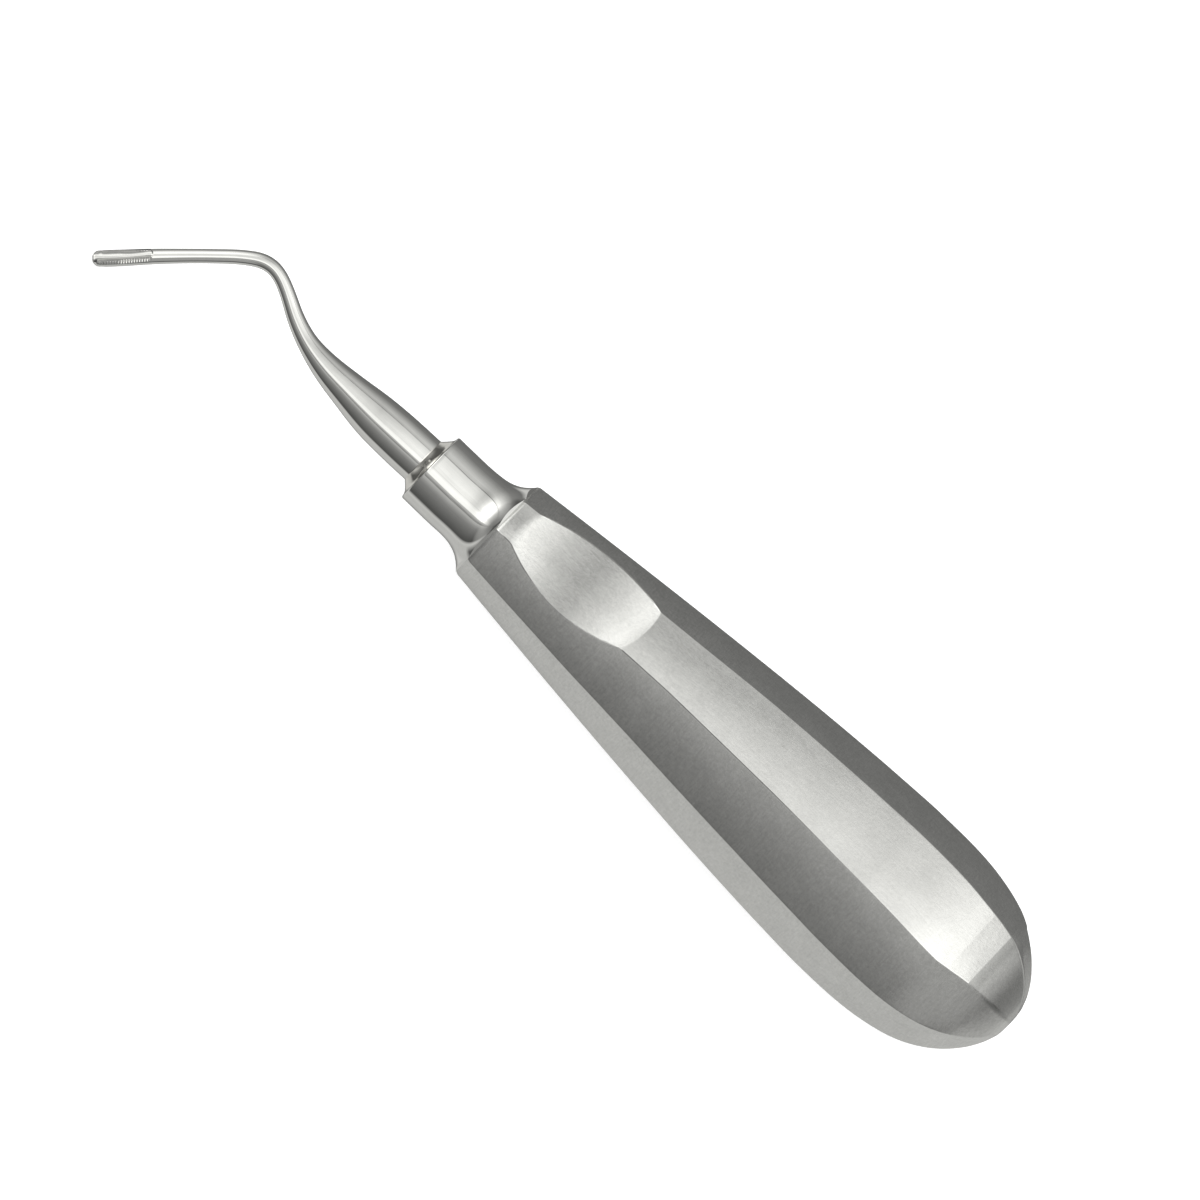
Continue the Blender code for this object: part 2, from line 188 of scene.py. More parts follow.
class Nodes:
    """Short names for the shader nodes used below."""

    def __init__(self, tree):
        self.tree = tree

    def link(self, a, b):
        self.tree.links.new(a, b)

    def node(self, kind, **props):
        n = self.tree.nodes.new(kind)
        for k, v in props.items():
            setattr(n, k, v)
        return n

    def instrument_mm(self):
        """The shaded point in the instrument's own frame, in millimetres."""
        n = self.node("ShaderNodeMapping", vector_type='TEXTURE')
        n.inputs["Location"].default_value = POSE.to_translation()
        n.inputs["Rotation"].default_value = POSE.to_euler()
        n.inputs["Scale"].default_value = (MM, MM, MM)
        self.link(self.node("ShaderNodeTexCoord").outputs["Object"], n.inputs["Vector"])
        return n.outputs[0]

    def math(self, op, a, b=None, c=None, clamp=False):
        n = self.node("ShaderNodeMath", operation=op, use_clamp=clamp)
        for i, v in enumerate((a, b, c)):
            if v is None:
                continue
            if isinstance(v, (int, float)):
                n.inputs[i].default_value = v
            else:
                self.link(v, n.inputs[i])
        return n.outputs[0]

    def dot(self, v, axis):
        n = self.node("ShaderNodeVectorMath", operation='DOT_PRODUCT')
        self.link(v, n.inputs[0])
        n.inputs[1].default_value = axis
        return n.outputs["Value"]

    def scaled(self, v, scale):
        n = self.node("ShaderNodeVectorMath", operation='MULTIPLY')
        self.link(v, n.inputs[0])
        n.inputs[1].default_value = scale
        return n.outputs[0]

    def noise(self, v, scale, detail=2.0, rough=0.5, distortion=0.0):
        n = self.node("ShaderNodeTexNoise")
        self.link(v, n.inputs["Vector"])
        n.inputs["Scale"].default_value = scale
        n.inputs["Detail"].default_value = detail
        n.inputs["Roughness"].default_value = rough
        n.inputs["Distortion"].default_value = distortion
        return n.outputs[0]

    def remap(self, v, a, b, c, d):
        n = self.node("ShaderNodeMapRange")
        self.link(v, n.inputs["Value"])
        for key, value in (("From Min", a), ("From Max", b), ("To Min", c), ("To Max", d)):
            n.inputs[key].default_value = value
        return n.outputs[0]

    def mix(self, t, a, b):
        n = self.node("ShaderNodeMix", data_type='RGBA')
        for socket, v in ((n.inputs["Factor"], t), (n.inputs[6], a), (n.inputs[7], b)):
            if isinstance(v, (int, float)):
                socket.default_value = v
            elif isinstance(v, tuple):
                socket.default_value = v if len(v) == 4 else (*v, 1.0)
            else:
                self.link(v, socket)
        return n.outputs[2]

    def mixf(self, t, a, b):
        n = self.node("ShaderNodeMix", data_type='FLOAT')
        for socket, v in ((n.inputs["Factor"], t), (n.inputs[2], a), (n.inputs[3], b)):
            if isinstance(v, (int, float)):
                socket.default_value = v
            else:
                self.link(v, socket)
        return n.outputs[0]

    def bump(self, height, strength, distance, normal=None):
        n = self.node("ShaderNodeBump")
        n.inputs["Strength"].default_value = strength
        n.inputs["Distance"].default_value = distance
        self.link(height, n.inputs["Height"])
        if normal is not None:
            self.link(normal, n.inputs["Normal"])
        return n.outputs[0]


def satin_steel(name, tint=(1.0, 1.0, 0.985), level=0.80, rough=0.215):
    """Hand-brushed stainless steel: fine grain on every facet, faint long lines on the thumb facet."""
    mat, tree, shader = new_material(name)
    k = Nodes(tree)
    mm = k.instrument_mm()
    lines = k.noise(k.scaled(mm, (0.45, 5.0, 5.0)), 1.0, 3.0, 0.6)
    cross = k.noise(k.scaled(mm, (6.0, 0.5, 0.5)), 1.0, 3.0, 0.6)
    grain = k.noise(mm, 1.9, 5.0, 0.8)
    cloud = k.noise(mm, 0.22, 3.0, 0.55)
    split = k.node("ShaderNodeSeparateXYZ")
    k.link(mm, split.inputs[0])
    turned = k.math('ARCTAN2', split.outputs["Y"], split.outputs["Z"])
    # 1 on the thumb facet and its scoop, 0 on the other facets
    facing = k.node("ShaderNodeSeparateXYZ")
    k.link(k.node("ShaderNodeTexCoord").outputs["Normal"], facing.inputs[0])
    lean = k.math('ABSOLUTE', k.math('ARCTAN2', facing.outputs["Y"], facing.outputs["Z"]))
    top = k.remap(lean, 0.37, 0.42, 1.0, 0.0)
    weave = k.mixf(top, k.mixf(0.35, grain, cross), k.mixf(0.4, grain, lines))
    # painted highlight: a little brighter along the thumb facet's near edge
    painted_light = k.math('MULTIPLY', k.remap(turned, -0.30, -0.05, 0.07, 0.0), top)
    painted_light = k.math('MULTIPLY', painted_light, k.remap(split.outputs["X"], 79.0, 84.0, 1.0, 0.2))
    # painted shade deeper in the scoop, and painted highlight towards its two ends
    depth = k.math('SUBTRACT', k.math('MULTIPLY_ADD', split.outputs["X"], 0.1, 7.3), split.outputs["Z"])
    painted_light = k.math('ADD', painted_light, k.math('MULTIPLY', k.remap(depth, 0.7, 1.6, 0.0, -0.07), top))
    inside = k.math('MULTIPLY', k.remap(depth, 0.05, 0.35, 0.0, 1.0), top)
    ends = k.math('ADD', k.remap(split.outputs["X"], 6.6, 8.2, 0.11, 0.0), k.remap(split.outputs["X"], 13.8, 16.0, 0.0, 0.10))
    ends = k.math('MULTIPLY', ends, k.remap(split.outputs["X"], 23.3, 23.9, 1.0, 0.0))
    painted_light = k.math('ADD', painted_light, k.math('MULTIPLY', ends, inside))
    shade = k.math('ADD', k.remap(cloud, 0.3, 0.7, -0.03, 0.03), k.math('MULTIPLY', k.remap(weave, 0.3, 0.7, -0.12, 0.12), k.mixf(top, 1.0, 0.7)))
    value = k.math('ADD', k.math('ADD', shade, level), painted_light)
    # painted reflection: a dark hairline on the rounded near edge of the thumb facet, ahead of the scoop and behind it
    tilt = k.math('ARCTAN2', facing.outputs["Y"], facing.outputs["Z"])
    painted_edge_dark = k.math('MULTIPLY', k.remap(tilt, -0.22, -0.14, 1.0, 0.0), k.remap(tilt, -0.68, -0.60, 0.0, 1.0))
    x = split.outputs["X"]
    stretch = k.math('MULTIPLY', k.remap(x, 22.9, 23.1, 0.0, 1.0), k.remap(x, 50.0, 72.0, 1.0, 0.0))
    stretch = k.math('ADD', stretch, k.math('MULTIPLY', k.remap(x, 1.0, 1.6, 0.0, 1.0), k.remap(x, 6.0, 10.0, 1.0, 0.0)))
    value = k.math('MULTIPLY', value, k.remap(k.math('MULTIPLY', painted_edge_dark, stretch), 0.0, 1.0, 1.0, 0.12))
    tinted = k.node("ShaderNodeVectorMath", operation='MULTIPLY')
    k.link(value, tinted.inputs[0])
    tinted.inputs[1].default_value = tint
    k.link(tinted.outputs[0], shader.inputs["Base Color"])
    shader.inputs["Metallic"].default_value = 1.0
    roughness = k.math('ADD', k.remap(weave, 0.25, 0.75, rough - 0.05, rough + 0.05),
                       k.remap(cloud, 0.3, 0.7, -0.015, 0.015))
    k.link(roughness, shader.inputs["Roughness"])
    first = k.bump(grain, 0.22, 0.00006)
    second = k.bump(k.mixf(top, cross, lines), 0.12, 0.00004, first)
    k.link(second, shader.inputs["Normal"])
    return mat


def mirror_steel(name, tint=(1.0, 1.0, 0.985), level=0.88, rough=0.07, lines_along=True, ground=None):
    """Polished steel with hairline polishing marks round the turned form."""
    mat, tree, shader = new_material(name)
    k = Nodes(tree)
    mm = k.instrument_mm()
    scale = (0.25, 7.0, 7.0) if lines_along else (7.0, 0.5, 0.5)
    lines = k.noise(k.scaled(mm, scale), 1.0, 3.0, 0.6)
    cloud = k.noise(mm, 0.6, 3.0, 0.5)
    value = k.math('ADD', k.math('ADD', k.remap(lines, 0.3, 0.7, -0.02, 0.02),
                                 k.remap(cloud, 0.3, 0.7, -0.02, 0.02)), level)
    roughness = k.remap(cloud, 0.3, 0.7, rough - 0.01, rough + 0.015)
    if ground:
        # the blade is left as ground and not polished; its colour is also greyer towards one flank, painted shade on
        # the gouge's walls that deepens as the surface turns towards side_dir
        origin, length_dir, side_dir = ground
        past = k.math('SUBTRACT', k.dot(mm, length_dir), origin.dot(length_dir))
        blade = k.remap(past, 0.0, 0.06, 0.0, 1.0)
        lean = k.dot(k.node("ShaderNodeTexCoord").outputs["Normal"], POSE.to_3x3() @ side_dir)
        value = k.math('MULTIPLY', value, k.mixf(blade, 1.0, k.math('MULTIPLY', k.remap(lean, 0.12, 0.62, 0.95, 0.42),
                                                                    k.remap(lean, 0.75, 0.90, 1.0, 0.45))))
        roughness = k.mixf(blade, roughness, 0.12)
    tinted = k.node("ShaderNodeVectorMath", operation='MULTIPLY')
    k.link(value, tinted.inputs[0])
    tinted.inputs[1].default_value = tint
    k.link(tinted.outputs[0], shader.inputs["Base Color"])
    shader.inputs["Metallic"].default_value = 1.0
    k.link(roughness, shader.inputs["Roughness"])
    k.link(k.bump(lines, 0.04, 0.00002), shader.inputs["Normal"])
    return mat


def rough_steel(name, level=0.42, rough=0.45):
    """Unfinished steel inside the handle: mottled scale and coarse tool lines."""
    mat, tree, shader = new_material(name)
    k = Nodes(tree)
    mm = k.instrument_mm()
    scale = k.noise(mm, 1.2, 4.0, 0.6)
    lines = k.noise(k.scaled(mm, (6.0, 1.0, 1.0)), 1.0, 2.0)
    value = k.math('ADD', k.remap(scale, 0.3, 0.7, -0.06, 0.06), level)
    tinted = k.node("ShaderNodeVectorMath", operation='MULTIPLY')
    k.link(value, tinted.inputs[0])
    tinted.inputs[1].default_value = (1.0, 0.98, 0.95)
    k.link(tinted.outputs[0], shader.inputs["Base Color"])
    shader.inputs["Metallic"].default_value = 1.0
    k.link(k.remap(scale, 0.3, 0.7, rough - 0.06, rough + 0.06), shader.inputs["Roughness"])
    k.link(k.bump(lines, 0.3, 0.00005), shader.inputs["Normal"])
    return mat


HANDLE_STEEL = satin_steel("brushed_steel")
WELD_STEEL = satin_steel("ground_weld", level=0.80, rough=0.23)
FERRULE_STEEL = mirror_steel("mirror_steel_ferrule", rough=0.035)
BRAZE = mirror_steel("silver_braze", tint=(1.0, 0.985, 0.94), level=0.84, rough=0.06, lines_along=False)
RAW_STEEL = rough_steel("raw_steel")


# ------------------------------------------------------------------ the handle's outline
def corner_r(x):
    if x > BELLY_X:
        t = min((x - BELLY_X) / (HANDLE_LENGTH - BELLY_X), 1.0)
        return BELLY_R * max(1.0 - t ** BUTT_POWER, 0.0) ** (1.0 / BUTT_ROOT)
    u = min(max((BELLY_X - x) / BELLY_X, 0.0), 1.0)
    return BELLY_R - (BELLY_R - SHOULDER_R) * u ** FRONT_POWER


def flat_r(x):
    return corner_r(x) * C225


# Hand grinding leaves each facet slightly crowned; the crown fades towards the belly.
crown_of = spline([(0.0, 0.12), (2.0, 0.18), (8.0, 0.22), (40.0, 0.25), (58.0, 0.16), (66.0, 0.11), (81.0, 0.10),
                   (84.0, 0.05), (90.0, 0.03), (94.5, 0.0)])
flank_crown = spline([(0.0, 0.12), (8.0, 0.22), (40.0, 0.28), (80.0, 0.30), (90.0, 0.15), (94.5, 0.0)])
inset_of = spline([(0.0, 0.0), (45.0, 0.0), (58.0, 0.06), (64.0, 0.11), (80.0, 0.11), (86.0, 0.0), (94.5, 0.0)])
edge_round = spline([(0.0, 0.12), (60.0, 0.14), (84.0, 0.20), (87.0, 0.35), (89.0, 0.9), (94.5, 1.1)])
rim_round = spline([(0.0, 0.12), (84.0, 0.16), (90.0, 0.22), (94.5, 0.25)])

# The facets are ground by eye, so the eight edges aren't quite evenly spaced.
left_rim = spline([(0.0, 1.015), (6.0, 1.008), (12.7, 0.997), (19.4, 0.992), (26.0, 0.974), (32.6, 0.965),
                   (49.0, 0.965), (59.0, 0.973), (69.0, 0.987), (75.7, 1.002), (81.0, 1.014), (86.0, 1.012),
                   (94.5, 1.0)])
left_edge = spline([(0.0, 113.5), (20.0, 113.6), (26.0, 112.7), (32.0, 111.9), (49.0, 112.1), (56.0, 112.6),
                    (62.4, 113.3), (69.0, 113.8), (72.4, 114.2), (75.7, 114.9), (78.3, 115.5), (81.0, 115.8),
                    (82.3, 115.1), (83.7, 114.2), (86.3, 112.6), (94.5, 112.2)])
right_edge = spline([(0.0, 69.0), (30.0, 68.2), (45.0, 67.5), (80.0, 67.4), (82.3, 67.0), (83.7, 66.3), (86.3, 64.7),
                     (87.6, 63.5), (89.0, 62.2), (91.6, 60.8), (94.5, 60.0)])
right_scale = spline([(0.0, 0.925), (10.0, 0.938), (22.7, 0.966), (29.3, 0.977), (36.0, 0.990), (42.6, 0.998),
                      (50.0, 1.0), (94.5, 1.0)])


right_bulge = spline([(70.0, 1.0), (75.7, 1.006), (79.0, 1.010), (83.7, 1.013), (86.0, 1.018), (89.0, 1.013),
                      (90.3, 1.018), (91.6, 1.03), (92.9, 1.06), (94.5, 1.15)])
blunt = spline([(91.6, 1.0), (93.0, 1.02), (93.7, 1.06), (94.1, 1.14), (94.45, 1.6)])


FLAT_START, FLAT_END, FLAT_FALL = 82.85, 86.3, -0.335      # a narrow flat ground across the butt


def flat_step(x):
    """Height by which the thumb facet's last flats stand off the smooth outline."""
    if x <= FLAT_START:
        return 0.0
    v = min(x, FLAT_END)
    d = flat_r(FLAT_START) + FLAT_FALL * (v - FLAT_START) - flat_r(v)
    if x > FLAT_END:
        d = lerp(d, -0.06, min((x - FLAT_END) / 1.5, 1.0))
    return d * (1 - smooth01((x - FLAT_END - 1.5) / 3.5))


def corners(x, scoop):
    """Left outline, rim edge and top edge, then the same on the right, at station x."""
    r = corner_r(x) - inset_of(x)
    if x < 0.42:
        r -= 0.17 * (1.0 - max(x, 0.0) / 0.42) ** 1.2
    if x > 91.6:
        r *= blunt(x)
    ll = left_rim(x)
    p1l_up = Vector((x, -r * C225 * ll, r * S225 * ll))
    p1l_low = Vector((x, -r * C225, -r * S225))
    f = p1l_up.z / (p1l_up.z - p1l_low.z)
    p0l = p1l_up.lerp(p1l_low, f)
    if scoop:
        a = math.radians(left_edge(x))
        p2l = Vector((x, r * math.cos(a), r * math.sin(a)))
        a = math.radians(right_edge(x))
        p2r = Vector((x, r * right_scale(x) * math.cos(a), r * right_scale(x) * math.sin(a)))
        p2l.z += flat_step(x)
        p2r.z += flat_step(x)
        p1l = p1l_up
    else:
        p1l = Vector((x, -r * C225, r * S225))
        p2l, p2r = Vector((x, -r * S225, r * C225)), Vector((x, r * S225, r * C225))
    # the far side of the butt is bevelled instead of upright
    bulge = right_bulge(x)
    bevel = smooth01((x - 87.0) / 3.2)
    p1r = Vector((x, r * C225 * bulge, r * S225 * bulge))
    if scoop:
        p1r = Vector((x, r * lerp(C225 * bulge, 0.77, bevel), r * lerp(S225 * bulge, 0.29, bevel)))
    full = smooth01((x - 79.0) / 8.0)
    p0r = Vector((x, soft_min(r * lerp(C225, 1.088, full) * bulge, 12.90 - crown_of(x), 0.25), 0.0))
    return p0l, p1l, p2l, p0r, p1r, p2r


front = Vector((SCOOP_FRONT_X, 0, flat_r(SCOOP_FRONT_X)))
rear = Vector((SCOOP_REAR_X, 0, flat_r(SCOOP_REAR_X)))
chord = rear - front
scoop_r = (chord.length_squared / 4 + SCOOP_DEPTH ** 2) / (2 * SCOOP_DEPTH)
scoop_up = Vector((-chord.z, 0, chord.x)).normalized()
scoop_centre = (front + rear) / 2 + scoop_up * (scoop_r - SCOOP_DEPTH)
SCOOP_TILT = 0.062       # the scoop leans a little towards the far side
SCOOP_REACH = 0.62       # how much further the scoop runs out in the middle of the crowned facet


def scoop_z(x):
    d = scoop_r ** 2 - (x - scoop_centre.x) ** 2
    if d <= 0:
        return 1e3
    z = scoop_centre.z - math.sqrt(d)
    return z if z < scoop_centre.z else 1e3


def top_z(x, y):
    """Height of the crowned thumb facet, carried on straight beyond its edges."""
    _, _, p2l, _, _, p2r = corners(x, True)
    f = (y - p2l.y) / (p2r.y - p2l.y)
    k = min(max(2 * f - 1, -1.0), 1.0)
    return lerp(p2l.z, p2r.z, f) + crown_of(x) * (1 - k * k)


def reach(x):
    """How far rows lean out to follow the scoop's bowed ends."""
    if x < SCOOP_FRONT_X:
        return -SCOOP_REACH * smooth01((x - 0.45) / (SCOOP_FRONT_X - 0.45))
    if x < 12.0:
        return -SCOOP_REACH * (1 - smooth01((x - SCOOP_FRONT_X) / 3.0))
    if x < SCOOP_REAR_X:
        return SCOOP_REACH * (1 - smooth01((SCOOP_REAR_X - x) / 3.0))
    return SCOOP_REACH * (1 - smooth01((x - SCOOP_REAR_X) / 2.5))


BAND = (0.0, 0.16, 0.34, 0.52, 0.70, 0.86, 0.955)
ARC = (0.0, 0.25, 0.5, 0.75, 1.0)
FLANK = (0.03, 0.12, 0.24, 0.36, 0.5, 0.64, 0.76, 0.88, 0.97)
TOP = (0.01, 0.04, 0.08, 0.13, 0.19, 0.25, 0.31, 0.375, 0.44, 0.5)
TOP = TOP + tuple(1 - t for t in TOP[-2::-1])
TURN = math.tan(math.radians(22.5))


def side_points(x, p0, p1, p2, q, hand):
    """Band, rim edge and flank on one side, from the seam up to where the top edge's rounding starts."""
    crown = crown_of(x)
    fcrown = flank_crown(x)
    low = min(SEAM_HALF, p1.z * 0.6)

    def band(t):
        z = lerp(low, p1.z, t)
        k = z / max(p1.z, 1e-6)
        return Vector((x, lerp(p0.y, p1.y, k) + hand * crown * (1 - k * k), z))

    def facet(t):
        p = p1.lerp(p2, t)
        k = 2 * t - 1
        return p + Vector((0.0, 0.7071 * hand, 0.7071)) * fcrown * max(1 - k * k, -0.2)

    seg_a = max(p1.z - low, 1e-6)
    seg_b = max((p2 - p1).length, 1e-6)
    d1 = min(rim_round(x) * TURN, seg_a * 0.4, seg_b * 0.3)
    d2 = min(edge_round(x) * TURN, seg_b * 0.3)
    tq = (q.z - p1.z) / max(p2.z - p1.z, 1e-6)
    end_a = 1 - d1 / seg_a
    pts = [band(end_a * t) for t in BAND]
    lo = d1 / seg_b
    hi = max(tq - d2 / seg_b, lo + 0.02)
    a, b, c = band(end_a), facet(lo), band(1.0)
    pts += [a * (1 - t) ** 2 + c * 2 * t * (1 - t) + b * t * t for t in ARC]
    pts += [facet(lerp(lo, hi, t)) for t in FLANK]
    return pts, facet(hi), facet(tq)


def section(x, scoop):
    """The whole upper outline at station x, from the left seam over the top to the right one."""
    p0l, p1l, p2l, p0r, p1r, p2r = corners(x, scoop)
    floor_z = scoop_z(x) if scoop else 1e3
    ql, qr = p2l.copy(), p2r.copy()
    if floor_z < 1e2:
        # where the leaning floor meets each flank
        for hand, a, b in ((-1, p1l, p2l), (1, p1r, p2r)):
            t = (floor_z - SCOOP_TILT * a.y - a.z) / ((b.z - a.z) + SCOOP_TILT * (b.y - a.y))
            if t < 1.0:
                q = a.lerp(b, max(t, 0.05))
                ql, qr = (q, qr) if hand < 0 else (ql, q)
    left, la, lq = side_points(x, p0l, p1l, p2l, ql, -1)
    right, ra, rq = side_points(x, p0r, p1r, p2r, qr, 1)
    width = (rq - lq).length
    d = min(edge_round(x) * TURN, width * 0.12) / max(width, 1e-6)
    crown = crown_of(x)
    lean = reach(x) if scoop else 0.0

    def top(t):
        k = 2 * t - 1
        p = lq.lerp(rq, t)
        if not scoop:
            return Vector((x, p.y, p.z + crown * (1 - k * k)))
        xx = x + lean * (1 - k * k)
        z = top_z(xx, p.y)
        s = scoop_z(xx) - SCOOP_TILT * p.y
        if s < z + 0.2:
            z = soft_min(z, s, 0.035)
        return Vector((xx, p.y, z))

    a, b = top(d), top(1 - d)
    pts = list(left)
    pts += [la * (1 - t) ** 2 + lq * 2 * t * (1 - t) + a * t * t for t in ARC]
    pts += [top(lerp(d, 1 - d, t)) for t in TOP]
    pts += [b * (1 - t) ** 2 + rq * 2 * t * (1 - t) + ra * t * t for t in ARC]
    pts += right[::-1]
    return pts


def handle_stations(scoop):
    xs = [0.0, 0.07, 0.14, 0.22, 0.31, 0.42, 0.56, 0.8, 1.15, 1.45]
    near = (-0.40, -0.28, -0.18, -0.11, -0.06, -0.02, 0.02, 0.06, 0.11, 0.18, 0.28, 0.40)
    if scoop:
        xs += [SCOOP_FRONT_X + d for d in near]
        count = 44
        a, b = SCOOP_FRONT_X + 0.40, SCOOP_REAR_X - 0.40
        xs += [lerp(a, b, i / count) for i in range(1, count)]
        xs += [SCOOP_REAR_X + d for d in near]
        start = SCOOP_REAR_X + 0.40
    else:
        xs += [2.0, 2.8]
        start = 3.6
    count = 56 if scoop else 66
    xs += [lerp(start, 80.0, i / count) for i in range(1, count)]
    # over the butt, steps of equal length along the outline
    if scoop:
        xs += [v + d for v in (FLAT_START, FLAT_END) for d in (-0.07, 0.0, 0.07)]
    x, last = 80.0, HANDLE_LENGTH - 0.10
    while x < last:
        xs.append(x)
        dx = 0.001
        slope = (corner_r(x + dx) - corner_r(x)) / dx
        x += (0.42 if x < 88 else 0.27) / math.sqrt(1 + slope * slope)
    xs.append(last)
    if scoop:
        xs = [v for v in xs if v in (last,) or min(abs(v - FLAT_START), abs(v - FLAT_END)) > 0.12
              or min(abs(abs(v - f) - d) for f in (FLAT_START, FLAT_END) for d in (0.0, 0.07)) < 1e-6]
    return sorted(xs)


def handle_rows(scoop):
    return [section(x, scoop) for x in handle_stations(scoop)]


def world_z(p):
    return p.x * math.sin(REST_TILT) + p.z * math.cos(REST_TILT) + 8.932


def shell(name, sign, scoop, node):
    """One pressed half of the handle: outer skin, mouth, inner skin and the parting face."""
    outer = handle_rows(scoop)
    ncol = len(outer[0])
    # keep inside the CAD's box, and let the belly sit flat on the table
    z_high = (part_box("handle_shell_upper")[1].z) / MM
    x_high = cad_box[1].x / MM
    for row in outer:
        for p in row:
            p.z *= sign
            over = world_z(p) - z_high + 0.003
            if over > 0:
                p.z -= over
            under = 0.0 - world_z(p)
            if under > 0:
                p.z += under / math.cos(REST_TILT)
            p.y = min(max(p.y, -12.895), 12.895)

    tip = Vector((HANDLE_LENGTH - 0.02, 0.0, sign * SEAM_HALF))
    rows = [[tip.copy() for _ in range(ncol)]]
    rows += [list(r) for r in reversed(outer)]          # butt to front
    n_outer = len(rows)
    bore = []
    for p in rows[-1]:
        a = math.atan2(abs(p.z), p.y)
        bore.append((MOUTH_BORE_R * math.cos(a), max(MOUTH_BORE_R * math.sin(a), SEAM_HALF)))
    rows.append([Vector((0.0, y, sign * z)) for y, z in bore])
    rows.append([Vector((0.3, y, sign * z)) for y, z in bore])
    rows.append([Vector((MOUTH_BORE_LENGTH, y, sign * z)) for y, z in bore])
    inner = []
    for row in outer:
        x = row[ncol // 2].x
        if x < MOUTH_BORE_LENGTH + 0.2 or corner_r(x) < 3.0:
            continue
        f = min(1.0 - (WALL * 1.08) / corner_r(x), 0.93)
        back = 1.15 * smooth01((x - 70.0) / 20.0)
        new = []
        for j, p in enumerate(row):
            z = max(abs(p.z) * f, SEAM_HALF)
            if j in (0, ncol - 1):
                z = SEAM_HALF
            new.append(Vector((p.x - back, p.y * f, sign * z)))
        inner.append(new)
    rows += inner
    inner_tip = Vector((rows[-1][0].x + 0.05, 0.0, sign * SEAM_HALF))
    rows.append([inner_tip.copy() for _ in range(ncol)])
    points = [p for row in rows for p in row]
    faces = []
    for i in range(len(rows) - 1):
        for j in range(ncol - 1):
            a = i * ncol + j
            faces.append((a, a + 1, a + ncol + 1, a + ncol))
    left = [i * ncol for i in range(len(rows))]
    right = [i * ncol + ncol - 1 for i in range(len(rows))]
    # the parting face is one horseshoe: down the left side, round the inner butt, back up the right
    face = left + right[::-1]
    for i in face:
        points[i].z = sign * SEAM_HALF
    # both ends of each side meet at the butt's apex; drop the doubled vertices
    face = [v for k, v in enumerate(face) if (points[v] - points[face[k - 1]]).length > 1e-4]
    faces.append(tuple(face))
    obj = piece(name, points, faces, HANDLE_STEEL, 38.0, (node,))
    return obj, outer


upper, upper_rows = shell("handle_upper_shell", 1, True, "handle_shell_upper")
lower, lower_rows = shell("handle_lower_shell", -1, False, "handle_shell_lower")
lower_at_upper = [section(r[0].x, False) for r in upper_rows]
for row in lower_at_upper:
    for p in row:
        p.y = min(max(p.y, -12.895), 12.895)


def seam_piece():
    """The weld between the shells, ground flush with the band."""
    xs = [r[0].x for r in upper_rows]
    tip = HANDLE_LENGTH - 0.02

    def outline(k, level):
        """(x, y) of side k (0 left, -1 right) at the top, the middle or the bottom of the weld."""
        line = []
        for row_up, row_low, x in zip(upper_rows, lower_at_upper, xs):
            if level > 0:
                y = row_up[k].y
            elif level < 0:
                y = row_low[k].y
            else:
                c = corners(x, True)
                y = (c[0].y - crown_of(x)) if k == 0 else (c[3].y + crown_of(x))
                y = min(max(y, -12.895), 12.895)
            line.append((x, y))
        return line + [(tip, 0.0)]

    wall = [(0.0, MOUTH_BORE_R), (MOUTH_BORE_LENGTH, MOUTH_BORE_R)]
    for x in xs:
        if x < MOUTH_BORE_LENGTH + 0.2 or corner_r(x) < 3.0:
            continue
        f = min(1.0 - (WALL * 1.08) / corner_r(x), 0.93)
        wall.append((x - 1.15 * smooth01((x - 70.0) / 20.0), (flat_r(x) - inset_of(x)) * f))
    wall.append((wall[-1][0] + 0.05, 0.0))
    points, faces, index = [], [], []
    for level in (-1, 0, 1):
        z = level * SEAM_HALF
        left, right = outline(0, level), outline(-1, level)
        order = ([(x, y) for x, y in right] + left[-2::-1]
                 + [(x, -y) for x, y in wall] + wall[-2::-1])
        start = len(points)
        points += [Vector((x, y, z)) for x, y in order]
        index.append(list(range(start, start + len(order))))
    n = len(index[0])
    for a, b in zip(index, index[1:]):
        for i in range(n):
            k = (i + 1) % n
            faces.append((a[i], a[k], b[k], b[i]))
    faces.append(tuple(index[0][::-1]))
    faces.append(tuple(index[-1]))
    return piece("seam_weld_bead", points, faces, WELD_STEEL, 38.0, ("seam_weld",))


seam_piece()


# ------------------------------------------------------------------ ferrule
# The collar and shank sit a little off the handle's axis; the flange is central.
axis_shift = spline([(-40.0, 0.0), (-36.0, -0.04), (-24.0, -0.26), (-17.0, -0.32), (-12.0, -0.26), (-7.5, -0.25),
                     (-4.0, -0.12), (0.0, -0.08), (1.5, 0.0)])


def octagon_r(theta, corner):
    """Polar radius of the handle's eight-sided section; theta from the Y axis."""
    a = (theta + math.pi / 8) % (math.pi / 4) - math.pi / 8
    return corner * C225 / math.cos(a)


